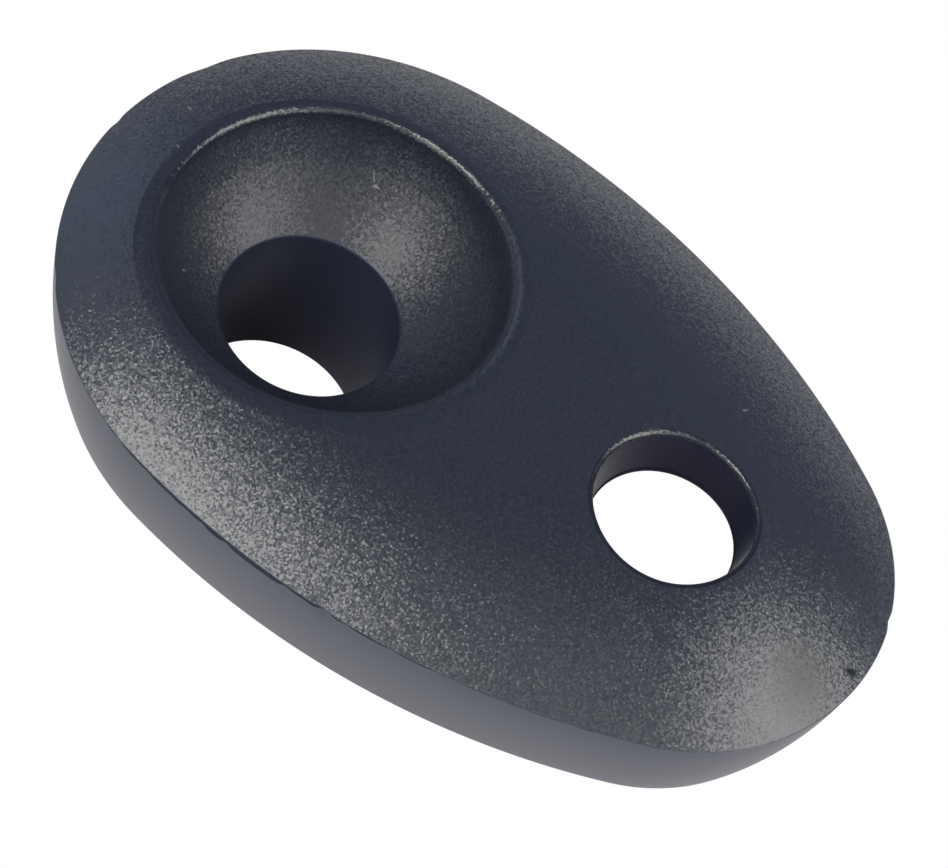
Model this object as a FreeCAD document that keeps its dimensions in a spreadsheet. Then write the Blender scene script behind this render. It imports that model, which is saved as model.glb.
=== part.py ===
"""Recessed knot fitting: an egg-shaped moulded pad with a dished knot recess, a spigot and two bores.

Millimetres, +Z up. The origin is on the line bore's axis, in the plane of the pad's seat, and +X runs
from the line bore to the small bore. The pad is one moulding: a curved, leaning wall under the parting
line, a domed top above it, a cored-out underside, and a bowl whose bore runs down through a spigot.
"""
import FreeCAD, Part
import Sketcher
import math
import os
import re

os.makedirs("parts", exist_ok=True)
doc = FreeCAD.newDocument("knot_fitting")

# Driving dimensions: alias, value in millimetres or degrees, what it is
SIZES = [
    ("bore_spacing", 18.1, "line bore axis to small bore axis"),
    ("big_centre", 1.6, "centre of the big end's arc, from the line bore"),
    ("big_radius", 13.0, "big end's arc at the parting line"),
    ("small_centre", 18.6, "centre of the small end's arc, from the line bore"),
    ("small_radius", 10.0, "small end's arc at the parting line"),
    ("side_radius", 37.3, "arc that joins the two ends at the parting line"),
    ("parting_height", 6.4, "seat plane to the parting line"),
    ("wall_radius", 24.3, "outer wall's curve in section, under the parting line"),
    ("wall_lean", 7.0, "outer wall's lean at the parting line, in degrees"),
    ("dome_rise", 2.6, "parting line up to the flat crown"),
    ("dome_reach", 9.0, "parting line in to the flat crown"),
    ("seat_edge", 0.2, "edge break round the outside of the seat"),
    ("seat_width", 1.6, "ring that the pad stands on, edge break included"),
    ("core_draft", 2.0, "draft of the cored-out underside, in degrees"),
    ("core_corner", 1.0, "sloped corner under the ceiling of the cored-out underside"),
    ("skin", 2.6, "crown to the ceiling of the cored-out underside"),
    ("rim_radius", 7.75, "knot recess at the height of the crown"),
    ("rim_depth", 1.9, "crown down to the edge of the bowl"),
    ("rim_taper", 0.3, "how much the steep wall under the rim narrows"),
    ("bowl_foot", 3.6, "seat plane up to the foot of the bowl"),
    ("bowl_wall", 2.0, "thickness under the bowl"),
    ("line_bore_radius", 4.0, "bore for the line"),
    ("spigot_wall", 2.0, "thickness of the spigot"),
    ("spigot_length", 5.1, "seat plane down to the end of the spigot"),
    ("spigot_chamfer", 0.5, "lead-in on the end of the spigot"),
    ("small_bore_radius", 3.25, "bore near the small end"),
    ("lead_widening", 0.35, "how much the small bore widens up to the crown"),
    ("lead_depth", 1.4, "height over which the small bore widens"),
    ("edge_break", 0.15, "edge breaks of the bores and of the recess"),
]

DOME_STEPS = 5      # the dome is lofted through this many outlines above the parting line
WALL_STEPS = 3      # and the outer wall through this many below it
OVERRUN = 1.0       # cutting profiles run past the faces that they open by this much
TOLERANCE = 1e-4    # for finding an edge by its height or radius

sheet = doc.addObject("Spreadsheet::Sheet", "Sizes")
for row, (alias, value, note) in enumerate(SIZES, start=1):
    sheet.set("A%d" % row, note)
    sheet.set("B%d" % row, str(value))
    sheet.setAlias("B%d" % row, alias)
doc.recompute()

body = doc.addObject("PartDesign::Body", "knot_fitting")
body.Label = "knot_fitting"
body.Placement = FreeCAD.Placement()

# Lengths that follow from the driving dimensions
WALL_INSET = ("wall_radius * (cos(wall_lean)"
              " - sqrt(1 - (sin(wall_lean) + (%s) * parting_height / wall_radius)^2))")
CEILING = "(parting_height + dome_rise - skin)"
CROWN = "(parting_height + dome_rise)"
BOWL_EDGE = "(parting_height + dome_rise - rim_depth)"
BOWL_RADIUS = "(rim_radius - rim_taper)"
BOWL_CENTRE = ("((%s^2 + %s^2 - line_bore_radius^2 - bowl_foot^2) / (2 * (%s - bowl_foot)))"
               % (BOWL_RADIUS, BOWL_EDGE, BOWL_EDGE))
UNDER_RADIUS = "(sqrt(line_bore_radius^2 + (%s - bowl_foot)^2) + bowl_wall)" % BOWL_CENTRE
SPIGOT_RADIUS = "(line_bore_radius + spigot_wall)"


def evaluate(expression):
    """Value of an expression of the sheet's names."""
    return float(sheet.evalExpression(expression))


def linked(expression):
    """The same expression as a feature outside the sheet reads it."""
    names = "|".join(alias for alias, value, note in SIZES)
    return re.sub(r"\b(%s)\b" % names, r"Sizes.\1", expression)


def recompute_and_check(step):
    """Recompute, stop where an object failed or the solid isn't sound, and return its volume."""
    doc.recompute()
    for item in doc.Objects:
        if "Invalid" in item.State or "Error" in item.State:
            raise RuntimeError("%s: %s is %s" % (step, item.Name, item.State))
    if body.Shape.isNull() or not body.Shape.isValid():
        raise RuntimeError("%s: the solid is not valid" % step)
    return body.Shape.Volume


def expect(step, before, grows):
    """A step that adds makes the solid larger, and one that cuts makes it smaller."""
    after = recompute_and_check(step)
    if (after > before) != grows:
        raise RuntimeError("%s changed the volume from %.1f to %.1f" % (step, before, after))
    return after


def new_sketch(name, role, height=None):
    """Sketch on one of the body's origin planes, raised by an expression."""
    plane = next(f for f in body.Origin.OriginFeatures if f.Role == role)
    sketch = body.newObject("Sketcher::SketchObject", name)
    sketch.AttachmentSupport = [(plane, "")]
    sketch.MapMode = "FlatFace"
    if height:
        lift = FreeCAD.Vector(0, 0, evaluate(height))
        sketch.AttachmentOffset = FreeCAD.Placement(lift, FreeCAD.Rotation())
        sketch.setExpression("AttachmentOffset.Base.z", linked(height))
    return sketch


def bind(sketch, name, expression, kind, *where):
    """Dimensional constraint of a sketch, bound to an expression."""
    index = sketch.addConstraint(Sketcher.Constraint(kind, *where, evaluate(expression)))
    sketch.renameConstraint(index, name)
    sketch.setExpression("Constraints." + name, linked(expression))


def outline(name, height, inset):
    """Egg of four tangent arcs, parallel to the parting line's and inside it by the inset."""
    sketch = new_sketch(name, "XY_Plane", height)
    radius = {end: "%s_radius - (%s)" % (end, inset) for end in ("big", "side", "small")}
    big, side, small = (evaluate(radius[end]) for end in ("big", "side", "small"))
    x_big, x_small = evaluate("big_centre"), evaluate("small_centre")
    span = x_small - x_big
    along = ((side - big) ** 2 - (side - small) ** 2 + span ** 2) / (2 * span)
    across = math.sqrt((side - big) ** 2 - along ** 2)
    # Directions from the side arc's centre to the two centres are those to its two ends
    to_big = math.atan2(across, -along)
    to_small = math.atan2(across, span - along)
    up = FreeCAD.Vector(0, 0, 1)

    def arc(x, y, r, start, end):
        return Part.ArcOfCircle(Part.Circle(FreeCAD.Vector(x, y, 0), up, r), start, end)

    sketch.addGeometry([
        arc(x_small, 0, small, -to_small, to_small),
        arc(x_big + along, -across, side, to_small, to_big),
        arc(x_big, 0, big, to_big, 2 * math.pi - to_big),
        arc(x_big + along, across, side, -to_big, -to_small),
    ], False)
    # Arcs 0 to 3 follow each other round the egg: each one's end is tangent to the next one's start
    for first, second in ((0, 1), (1, 2), (2, 3), (3, 0)):
        sketch.addConstraint(Sketcher.Constraint("Tangent", first, 2, second, 1))
    sketch.addConstraint(Sketcher.Constraint("PointOnObject", 0, 3, -1))
    sketch.addConstraint(Sketcher.Constraint("PointOnObject", 2, 3, -1))
    sketch.addConstraint(Sketcher.Constraint("Equal", 1, 3))
    bind(sketch, "small_arc", radius["small"], "Radius", 0)
    bind(sketch, "side_arc", radius["side"], "Radius", 1)
    bind(sketch, "big_arc", radius["big"], "Radius", 2)
    bind(sketch, "small_centre", "small_centre", "DistanceX", -1, 1, 0, 3)
    bind(sketch, "big_centre", "big_centre", "DistanceX", -1, 1, 2, 3)
    return sketch


def circle(name, height, radius):
    """Circle round the small bore's axis."""
    sketch = new_sketch(name, "XY_Plane", height)
    centre = FreeCAD.Vector(evaluate("bore_spacing"), 0, 0)
    sketch.addGeometry(Part.Circle(centre, FreeCAD.Vector(0, 0, 1), evaluate(radius)), False)
    sketch.addConstraint(Sketcher.Constraint("PointOnObject", 0, 3, -1))
    bind(sketch, "radius", radius, "Radius", 0)
    bind(sketch, "spacing", "bore_spacing", "DistanceX", -1, 1, 0, 3)
    return sketch


def loft(kind, name, sketches, ruled=False):
    """Solid carried from each outline to the next."""
    feature = body.newObject(kind, name)
    feature.Profile = sketches[0]
    feature.Sections = sketches[1:]
    feature.Ruled = ruled
    return feature


def polygon(sketch, corners, arcs):
    """Closed profile in the sketch's plane; corners are pairs of expressions, None for on the axis.

    arcs maps the number of a side to the height of its centre, which lies on the axis. Such a side
    runs anticlockwise round its centre; every other side is straight.
    """
    points = [FreeCAD.Vector(evaluate(x) if x else 0, evaluate(y), 0) for x, y in corners]
    for i, start in enumerate(points):
        end = points[(i + 1) % len(points)]
        if i in arcs:
            centre = FreeCAD.Vector(0, evaluate(arcs[i]), 0)
            whole = Part.Circle(centre, FreeCAD.Vector(0, 0, 1), (start - centre).Length)
            first, last = (math.atan2(p.y - centre.y, p.x) for p in (start, end))
            sketch.addGeometry(Part.ArcOfCircle(whole, first, last), False)
        else:
            sketch.addGeometry(Part.LineSegment(start, end), False)
    for i, (x, y) in enumerate(corners):
        sketch.addConstraint(Sketcher.Constraint("Coincident", i, 2, (i + 1) % len(points), 1))
        if x:
            bind(sketch, "across_%d" % i, x, "DistanceX", -1, 1, i, 1)
        else:
            sketch.addConstraint(Sketcher.Constraint("PointOnObject", i, 1, -2))
        bind(sketch, "height_%d" % i, y, "DistanceY", -1, 1, i, 1)
    for i in arcs:
        sketch.addConstraint(Sketcher.Constraint("PointOnObject", i, 3, -2))


def turned(kind, name, sketch):
    """Profile turned round the line bore's axis."""
    feature = body.newObject(kind, name)
    feature.Profile = sketch
    feature.ReferenceAxis = (sketch, ["V_Axis"])
    feature.Angle = 360
    return feature


def round_bore(edge, x, inner, outer, lowest, highest):
    """True for a curved edge round the upright axis at x, between two radii and two heights."""
    if isinstance(edge.Curve, Part.Line):
        return False
    axis = FreeCAD.Vector(evaluate(x), 0, 0)
    for point in edge.discretize(9):
        radius = math.hypot(point.x - axis.x, point.y)
        if not evaluate(inner) - TOLERANCE < radius < evaluate(outer) + TOLERANCE:
            return False
        if not evaluate(lowest) - TOLERANCE < point.z < evaluate(highest) + TOLERANCE:
            return False
    return True


def borders_level_face(edge, height):
    """True for an edge of a flat face that lies level at this height."""
    for face in body.Tip.Shape.Faces:
        gap = abs(face.CenterOfMass.z - evaluate(height))
        level = isinstance(face.Surface, Part.Plane) and abs(face.Surface.Axis.z) > 1 - TOLERANCE
        if level and gap < TOLERANCE and any(edge.isSame(other) for other in face.Edges):
            return True
    return False


def chamfer(name, test, size):
    """Chamfer on the edges of the solid so far that pass a test."""
    base = body.Tip
    edges = ["Edge%d" % n for n, edge in enumerate(base.Shape.Edges, start=1) if test(edge)]
    if not edges:
        raise RuntimeError("%s finds no edge" % name)
    feature = body.newObject("PartDesign::Chamfer", name)
    feature.Base = (base, edges)
    feature.Size = evaluate(size)
    feature.setExpression("Size", linked(size))


# Outer wall, from the parting line down to the seat
wall_outlines = []
for step in range(WALL_STEPS + 1):
    share = "%d / %d" % (step, WALL_STEPS)
    height = "parting_height * (1 - %s)" % share
    wall_outlines.append(outline("wall_outline_%d" % step, height, WALL_INSET % share))
loft("PartDesign::AdditiveLoft", "outer_wall", wall_outlines)
volume = expect("outer wall", 0.0, grows=True)

# Dome: its slope runs out evenly, from the parting line in to the flat crown
dome_outlines = []
for step in range(DOME_STEPS + 1):
    share = "%d / %d" % (step, DOME_STEPS)
    height = "parting_height + dome_rise * (1 - (1 - %s)^2)" % share
    dome_outlines.append(outline("dome_outline_%d" % step, height, "dome_reach * %s" % share))
loft("PartDesign::AdditiveLoft", "dome", dome_outlines)
volume = expect("dome", volume, grows=True)

chamfer("seat_break", lambda edge: borders_level_face(edge, "0"), "seat_edge")
volume = expect("seat edge", volume, grows=False)

# Cored-out underside
seat_inset = "%s + seat_width" % (WALL_INSET % "1")
core_outlines = [
    outline("core_mouth", "0", seat_inset),
    outline("core_ceiling", CEILING, "%s + %s * tan(core_draft)" % (seat_inset, CEILING)),
]
loft("PartDesign::SubtractiveLoft", "core", core_outlines, ruled=True)
volume = expect("core", volume, grows=False)
chamfer("core_slope", lambda edge: borders_level_face(edge, CEILING), "core_corner")
volume = expect("core corner", volume, grows=True)

# Underside of the bowl, and the spigot below it
socket = new_sketch("socket_profile", "XZ_Plane")
spigot_end = "-spigot_length"
spigot_top = "%s - sqrt(%s^2 - %s^2)" % (BOWL_CENTRE, UNDER_RADIUS, SPIGOT_RADIUS)
under_edge = "sqrt(%s^2 - (%s - %s)^2)" % (UNDER_RADIUS, BOWL_CENTRE, CEILING)
polygon(socket, [
    (None, spigot_end),
    (SPIGOT_RADIUS, spigot_end),
    (SPIGOT_RADIUS, spigot_top),
    (under_edge, CEILING),
    (None, CEILING),
], {2: BOWL_CENTRE})
turned("PartDesign::Revolution", "socket", socket)
volume = expect("socket", volume, grows=True)

# Knot recess: a steep wall under the rim, a dished bowl, and the line bore on down
recess = new_sketch("recess_profile", "XZ_Plane")
above = "(%s + %s)" % (CROWN, OVERRUN)
below = "(-spigot_length - %s)" % OVERRUN
polygon(recess, [
    (None, below),
    ("line_bore_radius", below),
    ("line_bore_radius", "bowl_foot"),
    (BOWL_RADIUS, BOWL_EDGE),
    ("rim_radius + rim_taper * %s / rim_depth" % OVERRUN, above),
    (None, above),
], {2: BOWL_CENTRE})
turned("PartDesign::Groove", "recess", recess)
volume = expect("recess", volume, grows=False)

# Small bore through the skin, with a widening lead-in from the crown
plan = circle("small_bore_plan", above, "small_bore_radius")
small_bore = body.newObject("PartDesign::Pocket", "small_bore")
small_bore.Profile = plan
small_bore.Length = evaluate(above)
small_bore.setExpression("Length", linked(above))
volume = expect("small bore", volume, grows=False)
loft("PartDesign::SubtractiveLoft", "small_bore_lead", [
    circle("lead_foot", "%s - lead_depth" % CROWN, "small_bore_radius"),
    circle("lead_top", above, "small_bore_radius + lead_widening * (1 + %s / lead_depth)" % OVERRUN),
], ruled=True)
volume = expect("small bore's lead-in", volume, grows=False)

# Edges broken where a line runs, and the lead-in on the spigot
above_edge = "(%s + edge_break)" % BOWL_EDGE
lead_foot = "(%s - lead_depth + edge_break)" % CROWN
crown_radius = "small_bore_radius + lead_widening"
chamfer("edge_breaks", lambda edge: (
    round_bore(edge, "0", BOWL_RADIUS, "rim_radius", above_edge, CROWN)
    or round_bore(edge, "0", "line_bore_radius", "line_bore_radius", spigot_end, "bowl_foot")
    or round_bore(edge, "bore_spacing", "small_bore_radius", crown_radius, lead_foot, CROWN)
), "edge_break")
volume = expect("edge breaks", volume, grows=False)
chamfer("spigot_lead", lambda edge: (
    round_bore(edge, "0", SPIGOT_RADIUS, SPIGOT_RADIUS, spigot_end, spigot_end)
), "spigot_chamfer")
volume = expect("spigot lead-in", volume, grows=False)

solid = body.Shape
print("volume %.1f mm3, %d solid, %d faces" % (solid.Volume, len(solid.Solids), len(solid.Faces)))
print("box", solid.optimalBoundingBox())
if len(solid.Solids) != 1:
    raise RuntimeError("the moulding is not one solid")
solid.exportStep("parts/knot_fitting.step")
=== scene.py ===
"""Recessed knot fitting: its finished surface, materials, floor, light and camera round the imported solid.

The moulding is one closed surface, worked out in millimetres from the same sizes as the solid. Rings run
parallel to the egg-shaped parting line, and between the two bores they give way to straight lines that
run out from each bore to its own half of the outline.
"""
import math

import bmesh
import bpy
import numpy as np
from mathutils import Matrix, Vector


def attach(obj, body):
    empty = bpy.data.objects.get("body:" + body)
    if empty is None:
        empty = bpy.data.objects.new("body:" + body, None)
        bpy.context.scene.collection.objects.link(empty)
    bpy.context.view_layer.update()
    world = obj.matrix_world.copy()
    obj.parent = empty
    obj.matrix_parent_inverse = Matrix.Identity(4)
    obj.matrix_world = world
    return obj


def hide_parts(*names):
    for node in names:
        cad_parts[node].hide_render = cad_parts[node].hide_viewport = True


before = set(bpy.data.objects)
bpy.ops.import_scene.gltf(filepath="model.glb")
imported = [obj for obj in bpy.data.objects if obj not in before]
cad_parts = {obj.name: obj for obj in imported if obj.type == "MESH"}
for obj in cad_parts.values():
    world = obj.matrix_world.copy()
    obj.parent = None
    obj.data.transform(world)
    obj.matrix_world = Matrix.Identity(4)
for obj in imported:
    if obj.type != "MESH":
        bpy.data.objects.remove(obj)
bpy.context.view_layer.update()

MM = 0.001

# Outline at the parting line: two end arcs joined by a side arc, in millimetres
BIG_X = 1.6
BIG_R = 13.0
SMALL_X = 18.6
SMALL_R = 10.0
SIDE_R = 37.3

# Section of the pad
PARTING = 6.4
CROWN_RISE = 2.6
CROWN_REACH = 9.0
WALL_R = 24.3
WALL_LEAN = math.radians(7.0)
SEAT_BREAK = 0.12
SEAT_WIDTH = 1.6
SKIN = 2.6
CORE_DRAFT = math.tan(math.radians(2.0))
CORE_SLOPE = 1.0
CROWN = PARTING + CROWN_RISE
CEILING = CROWN - SKIN

# Knot recess, line bore and spigot
RIM_R = 7.75
RIM_TAPER = 0.3
RIM_DEPTH = 1.9
BOWL_FOOT = 3.6
BOWL_WALL = 2.0
LINE_R = 4.0
SPIGOT_R = 6.0
SPIGOT_END = -5.1
SPIGOT_LEAD = 0.5
BOWL_R = RIM_R - RIM_TAPER
BOWL_EDGE = CROWN - RIM_DEPTH
BOWL_Z = (BOWL_R ** 2 + BOWL_EDGE ** 2 - LINE_R ** 2 - BOWL_FOOT ** 2) / (2 * (BOWL_EDGE - BOWL_FOOT))
BOWL_SPHERE = math.hypot(LINE_R, BOWL_Z - BOWL_FOOT)
UNDER_SPHERE = BOWL_SPHERE + BOWL_WALL

# Small bore, which narrows downwards to a thin lip of flash
SMALL_BORE_X = 18.1
SMALL_BORE_R = 3.25
SMALL_BORE_TOP_R = 3.6
LIP = 0.04
LIP_TALL = 0.09

# Edges as they leave the mould; the recess's rim is widest across from its worn side, and the bowl's own
# edge on the side away from the small bore
RIM_ROUND = (0.4, 1.3)
SMALL_RIM_ROUND = 0.24
BOWL_ROUND = (0.5, 1.7)
FOOT_ROUND = 0.14
END_ROUND = 0.15

# Where the mould's halves met: the upper half's edge stands out past the wall by an uneven step
STEP = 0.035
STEP_FADE = 0.5

# Waves once round the edge that add up to its wander: of the seam's height, of the step, and finer ones of it
SEAM_WAVES = [3, 7, 17, 41, 67, 103]
STEP_WAVES = [5, 13, 31]
FINE_STEP_WAVES = [53, 71]

# The seam under that edge, a band of painted shade: how tall where it is widest, that place and its reach
# along the edge, the share of the height that is left elsewhere, and the depth from which the wall is plain
SEAM_TALL = 0.42
SEAM_PLACE = (5.0, -13.4)
SEAM_REACH = 6.0
SEAM_LEAST = 0.22
SEAM_END = 0.75

# Nicks in that edge: x, y, depth and half width
NICKS = [(-11.32, 0.1, 0.06, 0.28), (-10.21, 5.08, 0.07, 0.8), (27.78, 3.67, 0.09, 0.3),
         (-8.6, -8.2, 0.05, 0.5), (9.5, -13.1, 0.06, 0.4)]

# Spark-eroded texture: the pebbles' spacing, how tall they stand, and their facets' size, in millimetres
PEBBLE = 0.15
PEBBLE_TALL = 0.013
FACET = 0.085

# The side of both rims that the line has polished
WORN_SIDE = math.radians(104)

# Marks of use and of moulding, seen from above: x, y, turn in degrees, length and width
RUBBED = (26.65, -1.9, 20, 3.8, 4.6)
GATE = (28.05, 0.24, 40, 0.75, 0.5)
SCRATCHES = [(-6.14, 9.12, 20, 0.2, 0.12), (17.5, 6.54, 60, 0.4, 0.14), (-9.28, 2.26, -25, 0.55, 0.1),
             (-8.37, 0.0, -25, 0.3, 0.1), (-5.04, -2.94, 70, 0.28, 0.12), (-1.7, 6.34, -40, 0.5, 0.1),
             (-1.35, 6.2, 10, 0.4, 0.1)]

# Camera: it looks at a point of the parting plane from an azimuth, an elevation and a distance, rolled
AIM = Vector((9.24, -1.56, 6.4)) * MM
AZIMUTH = math.radians(13.74)
ELEVATION = math.radians(55.48)
ROLL = math.radians(25.97)
DISTANCE = 306.5 * MM
SENSOR = 36.0
FOCAL_PIXELS = 7230
PICTURE_WIDTH = 948
LENS = FOCAL_PIXELS / PICTURE_WIDTH * SENSOR

# Light: the keys are a little warm, and what comes from behind is blue daylight; the distance is in metres
KEY_COLOUR = "#fffffa"
SKY_COLOUR = "#ccdfff"
LAMP_DISTANCE = 0.6

# Paper: how far it lies under the spigot's end, its half width in metres, and its shaded oval under the pad
PAPER_GAP = 0.02
PAPER_HALF = 3.0
UNDER_PAD = ((BIG_X - BIG_R + SMALL_X + SMALL_R) / 2, 0, 0, 39.0, 26.0)

# Nylon's index of refraction
NYLON_IOR = 1.53

# How finely the surface is divided: points round the outline and across the split between the bores, rows
# of each part, and steps round a corner; the rings that keep the outline's form reach in by the border
AROUND = 480
ACROSS = 58
BORDER = 2.6
BORDER_ROWS = 24
CROWN_ROWS = 16
WALL_ROWS = 16
CEILING_ROWS = 9
BOWL_ROWS = 34
ROUND_STEPS = 5

# Points closer than this, in metres, are one
WELD = 1e-7

# Finishes, in the order of the mesh's materials
TOP, WALL, LINE_BORE, WORN_RIM, SEAM_SHADE, BOWL, SMALL_BORE, DULL_RIM = range(8)


def span_of_sides():
    """Where the side arc is centred, and the directions from there to the two end arcs' centres."""
    span = SMALL_X - BIG_X
    along = ((SIDE_R - BIG_R) ** 2 - (SIDE_R - SMALL_R) ** 2 + span ** 2) / (2 * span)
    down = math.sqrt((SIDE_R - BIG_R) ** 2 - along ** 2)
    to_small = math.atan2(down, span - along)
    to_big = math.atan2(down, -along)
    return np.array([BIG_X + along, -down]), to_small, to_big


SIDE_CENTRE, TO_SMALL, TO_BIG = span_of_sides()


def parting_outline():
    """Points on the parting line and their outward normals, evenly spaced from the small end's tip.

    On each arc the normal's angle grows evenly with the length run, and a point is the arc's centre
    plus its radius along the normal. The second half mirrors the first in y.
    """
    lengths = [SMALL_R * TO_SMALL, SIDE_R * (TO_BIG - TO_SMALL), BIG_R * (math.pi - TO_BIG)]
    marks = np.concatenate([[0], np.cumsum(lengths)])
    run = np.linspace(0, marks[-1], AROUND // 2 + 1)
    angle = np.interp(run, marks, [0, TO_SMALL, TO_BIG, math.pi])
    arc = np.clip(np.searchsorted(marks, run, side="right") - 1, 0, 2)
    centre = np.array([[SMALL_X, 0], SIDE_CENTRE, [BIG_X, 0]])[arc]
    radius = np.array([SMALL_R, SIDE_R, BIG_R])[arc]
    normal = np.stack([np.cos(angle), np.sin(angle)], axis=1)
    point = centre + radius[:, None] * normal
    mirror = np.array([1, -1])
    points = np.concatenate([point, point[-2:0:-1] * mirror])
    normals = np.concatenate([normal, normal[-2:0:-1] * mirror])
    return points, normals


OUTLINE, OUTWARD = parting_outline()


def dents():
    """How far the nicks press the parting line in, at each of its points: the sum of soft bells."""
    total = np.zeros(AROUND)
    for x, y, depth, width in NICKS:
        total += depth * np.exp(-((OUTLINE[:, 0] - x) ** 2 + (OUTLINE[:, 1] - y) ** 2) / width ** 2)
    return total


def uneven(waves):
    """A wander between 0 and 1 along the outline: the mean of sine waves, each with its own phase."""
    turn = np.linspace(0, 2 * math.pi, AROUND, endpoint=False)
    total = sum(np.sin(n * turn + 2.4 * k) for k, n in enumerate(waves))
    return 0.5 + 0.5 * total / len(waves)


DENTS = dents()


def worn(away):
    """How far directions lie toward the worn side, from -1 across from it to 1."""
    return away @ [math.cos(WORN_SIDE), math.sin(WORN_SIDE)]


def inside(x, y):
    """Distance in from the parting line: an arc's radius less the distance to its centre.

    The direction from the side arc's centre says which of the three arcs a point belongs to.
    """
    y = np.abs(y)
    angle = np.arctan2(y - SIDE_CENTRE[1], x - SIDE_CENTRE[0])
    big = BIG_R - np.hypot(x - BIG_X, y)
    small = SMALL_R - np.hypot(x - SMALL_X, y)
    side = SIDE_R - np.hypot(x - SIDE_CENTRE[0], y - SIDE_CENTRE[1])
    return np.where(angle > TO_BIG, big, np.where(angle < TO_SMALL, small, side))


def dome(x, y):
    """Height of the top: a slope that runs out evenly from the parting line in to the flat crown."""
    share = np.clip(inside(x, y) / CROWN_REACH, 0, 1)
    return PARTING + CROWN_RISE * (1 - (1 - share) ** 2)


def wall_inset(depth):
    """How far the outer wall has leant in at a depth under the parting line, along its arc in section."""
    return WALL_R * (math.cos(WALL_LEAN) - np.sqrt(1 - (math.sin(WALL_LEAN) + depth / WALL_R) ** 2))


SEAT_INSET = float(wall_inset(PARTING))
MOUTH_INSET = SEAT_INSET + SEAT_WIDTH
CORE_INSET = MOUTH_INSET + CEILING * CORE_DRAFT


def underside(x, y):
    """Height of the cored-out underside: the lowest of ceiling, sloped corner and the bowl's own skin.

    The three run into each other as a smooth minimum, -k log(sum(exp(-z / k))), with heights taken from a
    middle one so that the powers stay small.
    """
    soft = 0.12
    middle = 5
    r = np.minimum(np.hypot(x, y), UNDER_SPHERE - 0.01)
    skin = BOWL_Z - np.sqrt(UNDER_SPHERE ** 2 - r ** 2)
    corner = CEILING - CORE_SLOPE + inside(x, y) - CORE_INSET
    heights = np.stack([np.full_like(skin, CEILING), corner, skin])
    return -soft * np.log(np.exp(-(heights - middle) / soft).sum(axis=0)) + middle


def line(start, end, count, with_end=True):
    """Rows evenly spaced from one row of points to another, without the first, with or without the last."""
    t = np.linspace(0, 1, count + 1)[1:count + with_end]
    return start + (end - start) * t.reshape(-1, *[1] * np.ndim(start))


def rounded(before, corner, after, size, far_size=None):
    """Rows round a corner: a parabola that leaves one side and meets the other a given size from it.

    far_size is that distance on the second side, where it differs.
    """
    def toward(other, reach):
        gap = other - corner
        return corner + gap / np.linalg.norm(gap, axis=-1, keepdims=True) * reach
    a = toward(before, size)
    b = toward(after, size if far_size is None else far_size)
    t = np.linspace(0, 1, ROUND_STEPS + 1).reshape(-1, *[1] * np.ndim(a))
    return (1 - t) ** 2 * a + 2 * t * (1 - t) * corner + t ** 2 * b


def rows(*parts):
    """One stack of rows from several."""
    return np.concatenate([np.asarray(part) for part in parts])


def ring(inset, height, pressed=0.0):
    """Closed loops parallel to the outline: each point moves in along its normal by the inset.

    Near the outline the nicks press the loops in by the share given too, and fade out to the border.
    """
    inset = np.atleast_2d(inset) + np.zeros(AROUND)
    near = pressed * np.clip(1 - inset / BORDER, 0, 1) ** 2
    flat = OUTLINE - (inset + near * DENTS)[..., None] * OUTWARD
    height = np.broadcast_to(height, flat.shape[:-1])
    return np.concatenate([flat, height[..., None]], axis=-1)


def round_loops(centre_x, direction, profile):
    """Closed loops round an upright axis: profile rows of (radius, height), one for each direction."""
    flat = np.array([centre_x, 0]) + profile[..., :1] * direction
    return np.concatenate([flat, profile[..., 1:]], axis=-1)


# The ring is cut in two where it passes between the bores
SPLIT_X = (RIM_R + SMALL_BORE_X - SMALL_BORE_TOP_R) / 2
CUT = int(np.argmin(np.abs(OUTLINE[:AROUND // 2, 0] - SPLIT_X)))
LEFT = np.arange(CUT, AROUND - CUT + 1)
RIGHT = np.concatenate([np.arange(AROUND - CUT, AROUND), np.arange(0, CUT + 1)])


def halves(loop):
    """Borders of the two halves inside a loop: its own points, closed by points straight across the split."""
    bridge = line(loop[AROUND - CUT], loop[CUT], ACROSS, with_end=False)
    return np.concatenate([loop[LEFT], bridge]), np.concatenate([loop[RIGHT], bridge[::-1]])


def directions(border, centre_x):
    """Unit directions from a bore's axis to the points of its border."""
    gap = border[:, :2] - np.array([centre_x, 0])
    return gap / np.linalg.norm(gap, axis=1, keepdims=True)


def spread(border, circle, height, count):
    """Rows from a border in to a circle, straight in plan and lying on a height function of x and y."""
    flat = rows(border[None, :, :2], line(border[:, :2], circle[:, :2], count))
    z = height(flat[..., 0], flat[..., 1])
    return np.concatenate([flat, z[..., None]], axis=-1)


def pairs(r, z):
    """Profile point or row of points (radius, height), broadcast together."""
    r, z = np.broadcast_arrays(np.asarray(r, float), z)
    return np.stack([r, z], axis=-1)


def top_sheets():
    """Domed top: rings that keep the outline's form near the parting line, and the borders of two halves.

    The rings crowd towards the parting line, as the share to the power of 1.3 does.
    """
    inset = BORDER * np.linspace(0, 1, BORDER_ROWS)[:, None] ** 1.3
    height = PARTING + CROWN_RISE * (1 - (1 - inset / CROWN_REACH) ** 2)
    border_rings = ring(inset, height, 1.0)
    border_rings[-1, :, 2] = dome(border_rings[-1, :, 0], border_rings[-1, :, 1])
    return border_rings, halves(border_rings[-1])


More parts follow.
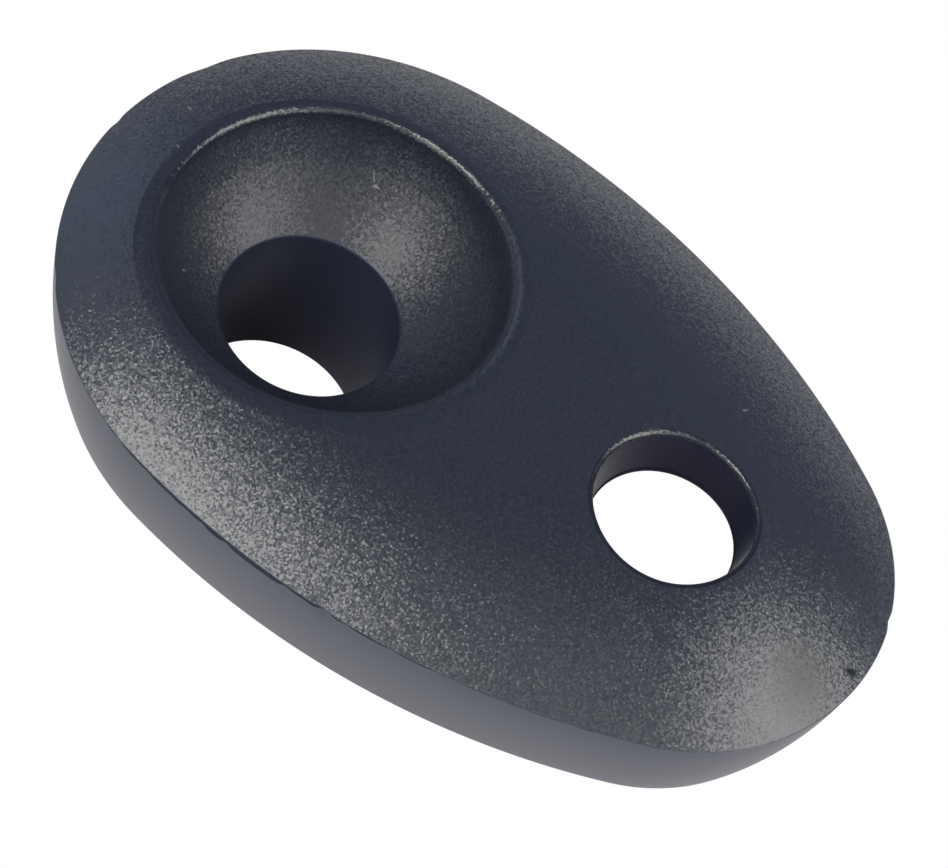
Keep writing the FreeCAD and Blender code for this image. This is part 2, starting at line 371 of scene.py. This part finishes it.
def recess_and_spigot(direction, top_height):
    """Line bore's loops: rim, steep wall, bowl, bore, and the spigot's end and outside up to the underside.

    The rim rolls over most widely across from its worn side, down to two fifths of the steep wall at most.
    That wall runs into the bowl with a blend that widens from the small bore's side to the far side.
    """
    n = len(direction)
    slope = RIM_TAPER / RIM_DEPTH
    corner = pairs(BOWL_R + slope * (top_height - BOWL_EDGE), top_height)
    wide = RIM_ROUND[0] + (RIM_ROUND[1] - RIM_ROUND[0]) * (1 - worn(direction)[:, None]) / 2
    outer = pairs(RIM_R + 1, dome(*((RIM_R + 1) * direction.T)))
    edge = pairs(np.full(n, BOWL_R), BOWL_EDGE)
    rise = (top_height - BOWL_EDGE)[:, None]
    rim = rounded(outer, corner, edge, wide, np.minimum(wide, 0.4 * rise))
    start = math.atan2(BOWL_EDGE - BOWL_Z, BOWL_R)
    stop = math.atan2(BOWL_FOOT - BOWL_Z, LINE_R)
    blend = BOWL_ROUND[0] + (BOWL_ROUND[1] - BOWL_ROUND[0]) * (1 - direction[:, :1]) / 2
    turn = np.linspace(start - blend[:, 0] / BOWL_SPHERE, stop + FOOT_ROUND / BOWL_SPHERE, BOWL_ROWS)
    bowl = pairs(BOWL_SPHERE * np.cos(turn), BOWL_Z + BOWL_SPHERE * np.sin(turn))
    upper = rounded(edge + [slope, 1], edge, bowl[0], np.minimum(0.7 * blend, 0.55 * rise), blend)
    foot = rounded(bowl[-1, 0], pairs(LINE_R, BOWL_FOOT), pairs(LINE_R, 0), FOOT_ROUND)
    inner_end = pairs(LINE_R, SPIGOT_END)
    outer_end = pairs(SPIGOT_R - SPIGOT_LEAD, SPIGOT_END)
    lead_top = pairs(SPIGOT_R, SPIGOT_END + SPIGOT_LEAD)
    under = pairs(SPIGOT_R, underside(np.array(SPIGOT_R), np.array(0.0)))
    end = rounded(foot[-1], inner_end, outer_end, END_ROUND)
    shoulder = rounded(end[-1], outer_end, lead_top, END_ROUND)
    lead = rounded(outer_end, lead_top, under, END_ROUND)
    turned = rows(foot, line(foot[-1], end[0], 10, with_end=False), end,
                  line(end[-1], shoulder[0], 4, with_end=False), shoulder,
                  line(shoulder[-1], lead[0], 2, with_end=False), lead,
                  line(lead[-1], under, 8))
    turned = np.broadcast_to(turned[:, None], (len(turned), n, 2))
    profile = rows(rim, line(rim[-1], upper[0], 6, with_end=False), upper, bowl[1:-1], turned)
    return round_loops(0.0, direction, profile)


def small_bore(direction, top_height):
    """Small bore's loops: rim, narrowing wall, and the lip of flash at its lower edge."""
    corner = pairs(SMALL_BORE_TOP_R, top_height)
    outward = SMALL_BORE_TOP_R + 1
    outer = pairs(outward, dome(SMALL_BORE_X + outward * direction[:, 0], outward * direction[:, 1]))
    wall_end = pairs(np.full(len(direction), SMALL_BORE_R + LIP), CEILING + LIP_TALL)
    lip_top = wall_end + [-LIP, -0.3 * LIP_TALL]
    lower = pairs(np.full(len(direction), SMALL_BORE_R), underside_at_bore(direction))
    rim = rounded(outer, corner, wall_end, SMALL_RIM_ROUND)
    profile = rows(rim, line(rim[-1], wall_end, 12), line(wall_end, lip_top, 2), line(lip_top, lower, 2))
    return round_loops(SMALL_BORE_X, direction, profile)


def underside_at_bore(direction):
    """Height of the underside round the small bore's lower rim."""
    return underside(SMALL_BORE_X + SMALL_BORE_R * direction[:, 0], SMALL_BORE_R * direction[:, 1])


def outer_sheet(core_ring):
    """Loops from the parting line down the wall, round the seat and up the cored-out side.

    The first few make the seam, an uneven line of painted shade where the mould's halves met. Its wander is
    stretched, so that it nearly closes in places. The step starts under the first two loops, which keeps it
    sharp.
    """
    gape = np.exp(-((OUTLINE - SEAM_PLACE) ** 2).sum(axis=1) / SEAM_REACH ** 2)
    wander = np.clip(2.4 * uneven(SEAM_WAVES) - 0.45, 0.12, 1)
    shaded_seam = SEAM_TALL * (SEAM_LEAST + (1 - SEAM_LEAST) * gape) * wander
    plain = np.linspace(SEAM_END, PARTING - SEAT_BREAK, WALL_ROWS)
    depth = rows(shaded_seam * np.array([0, 0.07, 0.4, 1, 1.3])[:, None], plain[:, None] + np.zeros(AROUND))
    step = STEP * (uneven(STEP_WAVES) + 0.5 * uneven(FINE_STEP_WAVES)) * np.exp(-depth / STEP_FADE)
    step[:2] = 0
    wall = ring(wall_inset(depth) + step, PARTING - depth, np.exp(-depth / STEP_FADE))
    outer_edge = ring(SEAT_INSET, 0.0)[0]
    mouth = ring(MOUTH_INSET, 0.0)[0]
    edge = rounded(wall[-1], outer_edge, mouth, SEAT_BREAK)
    mouth_edge = rounded(edge[-1], mouth, core_ring, SEAT_BREAK)
    lower = rows(wall[3:], edge[1:], line(edge[-1], mouth_edge[0], 3, with_end=False), mouth_edge,
                 line(mouth_edge[-1], core_ring, 7))
    return [(wall[:4], SEAM_SHADE), (lower, WALL)]


def moulding_sheets():
    """Grids of points that make up the closed surface, each with its finish or one for each column."""
    border_rings, tops = top_sheets()
    core = ring(CORE_INSET, 0.0)[0]
    core_ring = np.concatenate([core[:, :2], underside(core[:, 0], core[:, 1])[:, None]], axis=1)
    unders = halves(core_ring)
    sheets = [(border_rings, TOP)] + outer_sheet(core_ring)
    for half, centre_x in enumerate((0.0, SMALL_BORE_X)):
        direction = directions(tops[half], centre_x)
        if half == 0:
            corner_r = RIM_R
            chain = recess_and_spigot
        else:
            corner_r = SMALL_BORE_TOP_R
            chain = small_bore
        corner = np.array([centre_x, 0]) + corner_r * direction
        loops = chain(direction, dome(corner[:, 0], corner[:, 1]))
        upper = spread(tops[half], loops[0], dome, CROWN_ROWS)
        upper[-1] = loops[0]
        sheets.append((upper, TOP))
        sheets += cut_by_finish(loops, half)
        lower = spread(unders[half], loops[-1], underside, CEILING_ROWS)
        lower[-1] = loops[-1]
        sheets.append((lower, WALL))
    return sheets


def cut_by_finish(loops, half):
    """A bore's loops by finish: the rim, the texture down to the bowl's foot, and smooth beyond.

    The recess's rim is textured like the top where it starts to roll over. Further in it is polished on
    its worn side and dull across from it.
    """
    if half == 1:
        return [(loops[:ROUND_STEPS + 1], WORN_RIM), (loops[ROUND_STEPS:], SMALL_BORE)]
    sides = np.where(worn(loops[-1, :, :2]) > 0, WORN_RIM, DULL_RIM)
    rim = [(loops[:3], TOP), (loops[2:ROUND_STEPS + 1], sides)]
    foot = int(np.argmax(np.hypot(*loops[:, 0, :2].T) < LINE_R + 0.6 * FOOT_ROUND))
    return rim + [(loops[ROUND_STEPS:foot + 1], BOWL), (loops[foot:], LINE_BORE)]


def closed_mesh(name, sheets, materials):
    """Mesh of grids whose rows are closed loops, welded where they meet, with faces outwards."""
    points = []
    faces = []
    kinds = []
    offset = 0
    for grid, kind in sheets:
        count, n = grid.shape[:2]
        i, j = np.meshgrid(np.arange(count - 1), np.arange(n), indexing="ij")
        k = (j + 1) % n
        quad = np.stack([i * n + j, i * n + k, (i + 1) * n + k, (i + 1) * n + j], axis=-1)
        faces.append(quad.reshape(-1, 4) + offset)
        kinds.append(np.broadcast_to(kind, quad.shape[:2]).ravel())
        points.append(grid.reshape(-1, 3))
        offset += count * n
    mesh = bpy.data.meshes.new(name)
    mesh.from_pydata(np.concatenate(points) * MM, [], np.concatenate(faces))
    for material in materials:
        mesh.materials.append(material)
    mesh.polygons.foreach_set("material_index", np.concatenate(kinds).astype(np.int32))
    mesh.polygons.foreach_set("use_smooth", np.ones(len(mesh.polygons), bool))
    work = bmesh.new()
    work.from_mesh(mesh)
    bmesh.ops.remove_doubles(work, verts=work.verts, dist=WELD)
    bmesh.ops.recalc_face_normals(work, faces=work.faces)
    work.to_mesh(mesh)
    work.free()
    mesh.update()
    thing = bpy.data.objects.new(name, mesh)
    bpy.context.scene.collection.objects.link(thing)
    return thing


def linear(code):
    """Linear colour of an sRGB hex value."""
    parts = [int(code[i:i + 2], 16) / 255 for i in (1, 3, 5)]
    return tuple(c / 12.92 if c <= 0.04045 else ((c + 0.055) / 1.055) ** 2.4 for c in parts) + (1.0,)


def add(tree, kind, settings=None, links=None):
    """Adds a node, sets its properties and inputs, and links its inputs to outputs, by name or number."""
    node = tree.nodes.new(kind)
    for name, value in (settings or {}).items():
        if isinstance(name, int) or name in node.inputs:
            node.inputs[name].default_value = value
        else:
            setattr(node, name, value)
    for name, output in (links or {}).items():
        tree.links.new(output, node.inputs[name])
    return node


def new_material(name):
    """Empty material and its nodes."""
    material = bpy.data.materials.new(name)
    material.use_nodes = True
    material.node_tree.nodes.clear()
    return material, material.node_tree


def patch(tree, place, mark, soft):
    """Share from 0 outside to 1 inside an oval seen from above.

    mark gives its x and y, its turn in degrees, and its length and width. soft is the part of its radius
    over which it fades in from its edge.
    """
    x, y, turn, length, width = mark
    local = add(tree, "ShaderNodeMapping", {
        "vector_type": "TEXTURE",
        "Location": (x * MM, y * MM, 0),
        "Rotation": (0, 0, math.radians(turn)),
        "Scale": (length / 2 * MM, width / 2 * MM, 1),
    }, {"Vector": place})
    away = add(tree, "ShaderNodeVectorMath", {"operation": "LENGTH"}, {0: local.outputs["Vector"]})
    share = add(tree, "ShaderNodeMapRange", {"From Min": 1.0, "From Max": 1.0 - soft},
                {"Value": away.outputs["Value"]})
    return share.outputs["Result"]


def facets(tree, place, tilt, normal, calm=None):
    """Normal turned by a random tilt in each small cell, as a rough skin's facets lie.

    calm is the share of the tilt that is left at a place.
    """
    cells = add(tree, "ShaderNodeTexVoronoi", {"Scale": 1 / (FACET * MM)}, {"Vector": place})
    either_way = add(tree, "ShaderNodeVectorMath", {"operation": "SUBTRACT", 1: (0.5, 0.5, 0.5)},
                     {0: cells.outputs["Color"]})
    leaning = add(tree, "ShaderNodeVectorMath", {"operation": "SCALE", "Scale": tilt},
                  {0: either_way.outputs["Vector"]})
    if calm:
        leaning = add(tree, "ShaderNodeVectorMath", {"operation": "SCALE"},
                      {0: leaning.outputs["Vector"], "Scale": calm})
    total = add(tree, "ShaderNodeVectorMath", {"operation": "ADD"}, {0: leaning.outputs["Vector"], 1: normal})
    return add(tree, "ShaderNodeVectorMath", {"operation": "NORMALIZE"},
               {0: total.outputs["Vector"]}).outputs["Vector"]


def spark_eroded_nylon(name, roughness, tilt, sheen, small_end=False):
    """Black nylon moulded against spark-eroded steel, the matt skin of the top and of the bowl.

    The steel's overlapping craters leave pebbles with facets at all angles. They catch the soft boxes as
    fine bright specks on the shoulders and stay nearly even on the flat crown. In the bowl, which the knot
    has bruised, the facets lean further and shine less. Where the recess's rim rolls over on its dull side
    they shine least. Only the top reaches the small end, where the rubbed patch and the gate mark are matt.
    """
    material, tree = new_material(name)
    place = add(tree, "ShaderNodeTexCoord").outputs["Object"]
    rubbed = patch(tree, place, RUBBED, 0.8)
    gate = patch(tree, place, GATE, 0.6)
    pebbles = add(tree, "ShaderNodeTexNoise", {"Scale": 1 / (PEBBLE * MM), "Detail": 1.0}, {"Vector": place})
    calm = add(tree, "ShaderNodeMapRange", {"To Min": 1.0, "To Max": 0.65}, {"Value": rubbed})
    height = add(tree, "ShaderNodeMath", {"operation": "MULTIPLY"},
                 {0: pebbles.outputs["Fac"], 1: calm.outputs["Result"]})
    bump = add(tree, "ShaderNodeBump", {"Strength": 1.0, "Distance": PEBBLE_TALL * MM},
               {"Height": height.outputs[0]})
    normal = facets(tree, place, tilt, bump.outputs["Normal"], calm.outputs["Result"])
    colour = add(tree, "ShaderNodeMixRGB", {"Color1": linear("#0e121d"), "Color2": linear("#242938")},
                 {"Fac": pebbles.outputs["Fac"]})
    tints = [(rubbed, "#37393a"), (gate, "#1a1e2c")]
    tints += [(patch(tree, place, scratch, 0.7), "#6c6d68") for scratch in SCRATCHES]
    for share, code in tints:
        colour = add(tree, "ShaderNodeMixRGB", {"Color2": linear(code)},
                     {"Fac": share, "Color1": colour.outputs["Color"]})
    shader = add(tree, "ShaderNodeBsdfPrincipled",
                 {"Roughness": roughness, "IOR": NYLON_IOR, "Specular IOR Level": sheen},
                 {"Base Color": colour.outputs["Color"], "Normal": normal})
    if small_end:
        matt = add(tree, "ShaderNodeMath", {"operation": "MULTIPLY", 1: 0.5}, {0: rubbed})
        faded = add(tree, "ShaderNodeMath", {"operation": "MAXIMUM"}, {0: matt.outputs[0], 1: gate})
        dull = add(tree, "ShaderNodeMapRange", {"To Min": sheen, "To Max": 0.1}, {"Value": faded.outputs[0]})
        tree.links.new(dull.outputs["Result"], shader.inputs["Specular IOR Level"])
    add(tree, "ShaderNodeOutputMaterial", links={"Surface": shader.outputs[0]})
    return material


def polished_nylon():
    """Black nylon polished by the line that runs over it, the thin bright edge on one side of both rims.

    The other side rolls over dull, and the shine fades from one to the other.
    """
    material, tree = new_material("black_nylon_polished_by_line")
    place = add(tree, "ShaderNodeTexCoord").outputs["Object"]
    across = add(tree, "ShaderNodeNewGeometry").outputs["Normal"]
    normal = facets(tree, place, 0.25, across)
    side_x, side_y = math.cos(WORN_SIDE), math.sin(WORN_SIDE)
    sides = [patch(tree, place, (x + r * side_x, r * side_y, 0, 2.8 * r, 2.8 * r), 0.3)
             for x, r in ((0.0, RIM_R), (SMALL_BORE_X, SMALL_BORE_TOP_R))]
    either = add(tree, "ShaderNodeMath", {"operation": "MAXIMUM"}, {0: sides[0], 1: sides[1]})
    shine = add(tree, "ShaderNodeMapRange", {"To Min": 0.35, "To Max": 0.85}, {"Value": either.outputs[0]})
    shader = add(tree, "ShaderNodeBsdfPrincipled",
                 {"Base Color": linear("#1b1e28"), "Roughness": 0.3, "IOR": NYLON_IOR,
                  "Specular IOR Level": 0.85},
                 {"Normal": normal, "Specular IOR Level": shine.outputs["Result"]})
    add(tree, "ShaderNodeOutputMaterial", links={"Surface": shader.outputs[0]})
    return material


def satin_nylon():
    """Black nylon moulded against ground steel, the wall's even satin sheen.

    Its grain of 0.15 mm is so shallow that it only softens the sheen.
    """
    material, tree = new_material("black_nylon_satin")
    place = add(tree, "ShaderNodeTexCoord").outputs["Object"]
    grain = add(tree, "ShaderNodeTexNoise", {"Scale": 1 / (0.15 * MM), "Detail": 0.0}, {"Vector": place})
    bump = add(tree, "ShaderNodeBump", {"Strength": 0.4, "Distance": 0.005 * MM},
               {"Height": grain.outputs["Fac"]})
    shader = add(tree, "ShaderNodeBsdfPrincipled",
                 {"Base Color": linear("#292d3d"), "Roughness": 0.42, "IOR": NYLON_IOR},
                 {"Normal": bump.outputs["Normal"]})
    add(tree, "ShaderNodeOutputMaterial", links={"Surface": shader.outputs[0]})
    return material


def drawn_nylon(name, code, sheen):
    """Black nylon drawn off polished core pins, the bores' smooth and darkest skin, a little blue.

    The faint marks of drawing are 0.25 mm apart and 2.5 mm long, down the bore. A darker code paints shade.
    """
    material, tree = new_material(name)
    place = add(tree, "ShaderNodeTexCoord").outputs["Object"]
    marks = add(tree, "ShaderNodeMapping", {"Scale": (1 / (0.25 * MM), 1 / (0.25 * MM), 1 / (2.5 * MM))},
                {"Vector": place})
    grain = add(tree, "ShaderNodeTexNoise", {"Scale": 1.0, "Detail": 0.0},
                {"Vector": marks.outputs["Vector"]})
    bump = add(tree, "ShaderNodeBump", {"Strength": 0.5, "Distance": 0.01 * MM},
               {"Height": grain.outputs["Fac"]})
    shader = add(tree, "ShaderNodeBsdfPrincipled",
                 {"Base Color": linear(code), "Roughness": 0.4, "IOR": NYLON_IOR,
                  "Specular IOR Level": sheen},
                 {"Normal": bump.outputs["Normal"]})
    add(tree, "ShaderNodeOutputMaterial", links={"Surface": shader.outputs[0]})
    return material


def seam_painted_shade():
    """Black nylon along the parting line, rough and nearly without sheen, its dark blue painted shade."""
    material, tree = new_material("parting_line_painted_shade")
    shader = add(tree, "ShaderNodeBsdfPrincipled", {
        "Base Color": linear("#1b1d30"), "Roughness": 0.7, "IOR": NYLON_IOR, "Specular IOR Level": 0.15})
    add(tree, "ShaderNodeOutputMaterial", links={"Surface": shader.outputs[0]})
    return material


def build_moulding():
    """The moulding, in place of its plain solid, with its finishes in their order."""
    thing = closed_mesh("moulding", moulding_sheets(), [
        spark_eroded_nylon("black_nylon_spark_eroded", 0.35, 0.2, 0.9, small_end=True), satin_nylon(),
        # The seam's dark finish is painted shade under the step
        drawn_nylon("black_nylon_drawn_off_pin", "#2e3044", 0.5), polished_nylon(), seam_painted_shade(),
        spark_eroded_nylon("black_nylon_bruised_by_knot", 0.45, 0.28, 0.76),
        # The thin bore's darker base colour is painted shade in that narrow bore
        drawn_nylon("black_nylon_thin_bore_painted_shade", "#1c1d2d", 0.12),
        spark_eroded_nylon("black_nylon_rolled_rim", 0.45, 0.2, 0.4)])
    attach(thing, "root")
    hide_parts("knot_fitting")


def white_paper():
    """White paper, which the camera and reflections see as plain white.

    Under the pad no light gets in, so there reflections see the shaded paper itself.
    """
    material, tree = new_material("white_paper")
    place = add(tree, "ShaderNodeTexCoord").outputs["Object"]
    under = patch(tree, place, UNDER_PAD, 0.3)
    seen = add(tree, "ShaderNodeLightPath")
    clear = add(tree, "ShaderNodeMath", {"operation": "SUBTRACT", 0: 1.0}, {1: under})
    mirrored = add(tree, "ShaderNodeMath", {"operation": "MULTIPLY"},
                   {0: seen.outputs["Is Glossy Ray"], 1: clear.outputs[0]})
    straight = add(tree, "ShaderNodeMath", {"operation": "MAXIMUM"},
                   {0: seen.outputs["Is Camera Ray"], 1: seen.outputs["Is Transmission Ray"]})
    plain = add(tree, "ShaderNodeMath", {"operation": "MAXIMUM"},
                {0: mirrored.outputs[0], 1: straight.outputs[0]})
    paper = add(tree, "ShaderNodeBsdfDiffuse", {"Color": linear("#e9ebee")})
    glow = add(tree, "ShaderNodeEmission", {"Color": linear("#ffffff"), "Strength": 1.0})
    both = add(tree, "ShaderNodeMixShader",
               links={0: plain.outputs[0], 1: paper.outputs[0], 2: glow.outputs[0]})
    add(tree, "ShaderNodeOutputMaterial", links={"Surface": both.outputs[0]})
    return material


def build_floor():
    """Wide sheet of white paper under the spigot's end."""
    half = PAPER_HALF
    low = (SPIGOT_END - PAPER_GAP) * MM
    mesh = bpy.data.meshes.new("floor")
    corners = [(-half, -half, low), (half, -half, low), (half, half, low), (-half, half, low)]
    mesh.from_pydata(corners, [], [(0, 1, 2, 3)])
    mesh.materials.append(white_paper())
    floor = bpy.data.objects.new("floor", mesh)
    bpy.context.scene.collection.objects.link(floor)


def turned_view(azimuth, elevation, roll=0.0):
    """Rotation of something that looks down its own -Z at the azimuth and elevation."""
    return (Matrix.Rotation(azimuth, 4, "Z") @ Matrix.Rotation(math.pi / 2 - elevation, 4, "X")
            @ Matrix.Rotation(roll, 4, "Z"))


def build_camera():
    """Long lens at the photograph's angle."""
    data = bpy.data.cameras.new("camera")
    data.sensor_fit = "HORIZONTAL"
    data.sensor_width = SENSOR
    data.lens = LENS
    data.clip_start = 0.01
    data.clip_end = 20
    camera = bpy.data.objects.new("camera", data)
    turn = turned_view(AZIMUTH, ELEVATION, ROLL)
    camera.matrix_world = Matrix.Translation(AIM) @ turn @ Matrix.Translation((0, 0, DISTANCE))
    bpy.context.scene.collection.objects.link(camera)
    bpy.context.scene.camera = camera


def soft_box(name, azimuth, elevation, size, watts, colour=KEY_COLOUR):
    """Square lamp that faces the pad from an azimuth and elevation in degrees, its side in metres."""
    data = bpy.data.lights.new(name, "AREA")
    data.shape = "SQUARE"
    data.size = size
    data.energy = watts
    data.color = linear(colour)[:3]
    lamp = bpy.data.objects.new(name, data)
    turn = turned_view(math.radians(azimuth), math.radians(elevation))
    lamp.matrix_world = Matrix.Translation(AIM) @ turn @ Matrix.Translation((0, 0, LAMP_DISTANCE))
    bpy.context.scene.collection.objects.link(lamp)


def build_room():
    """Pale room: white at the height of the table, and dim and blue overhead."""
    world = bpy.data.worlds.new("room")
    world.use_nodes = True
    tree = world.node_tree
    tree.nodes.clear()
    toward = add(tree, "ShaderNodeTexCoord").outputs["Generated"]
    upright = add(tree, "ShaderNodeSeparateXYZ", links={"Vector": toward}).outputs["Z"]
    fall = add(tree, "ShaderNodeMapRange",
               {"From Min": -0.05, "From Max": 0.5, "To Min": 1.0, "To Max": 0.2}, {"Value": upright})
    strength = add(tree, "ShaderNodeMath", {"operation": "POWER", 1: 2.0}, {0: fall.outputs["Result"]})
    colour = add(tree, "ShaderNodeMixRGB", {"Color1": linear("#bcd6ff"), "Color2": linear("#ffffff")},
                 {"Fac": strength.outputs[0]})
    light = add(tree, "ShaderNodeBackground",
                links={"Color": colour.outputs["Color"], "Strength": strength.outputs[0]})
    add(tree, "ShaderNodeOutputWorld", links={"Surface": light.outputs[0]})
    bpy.context.scene.world = world


def build_light():
    """Soft boxes on the camera's left and right, one low under each, and three faint ones.

    The first two lie reflected on the two shoulders and in the bowl, the low ones only on the shoulders.
    The front one evens out the shoulder between them. The two behind, as blue as the sky, draw the rims and
    the far slope.
    """
    soft_box("left_box", -33, 50, 0.34, 2.6)
    soft_box("right_box", 106, 44, 0.42, 2.35)
    soft_box("front_box", 40, 42, 0.26, 0.35)
    soft_box("low_left_box", -10, 12, 0.4, 0.9)
    soft_box("low_right_box", 78, 12, 0.4, 1.2)
    soft_box("back_box", -108, 31, 0.36, 0.36, SKY_COLOUR)
    soft_box("high_box", -175, 44, 0.4, 0.14, SKY_COLOUR)


build_moulding()
build_floor()
build_room()
build_light()
build_camera()
bpy.context.scene.view_settings.view_transform = "Standard"
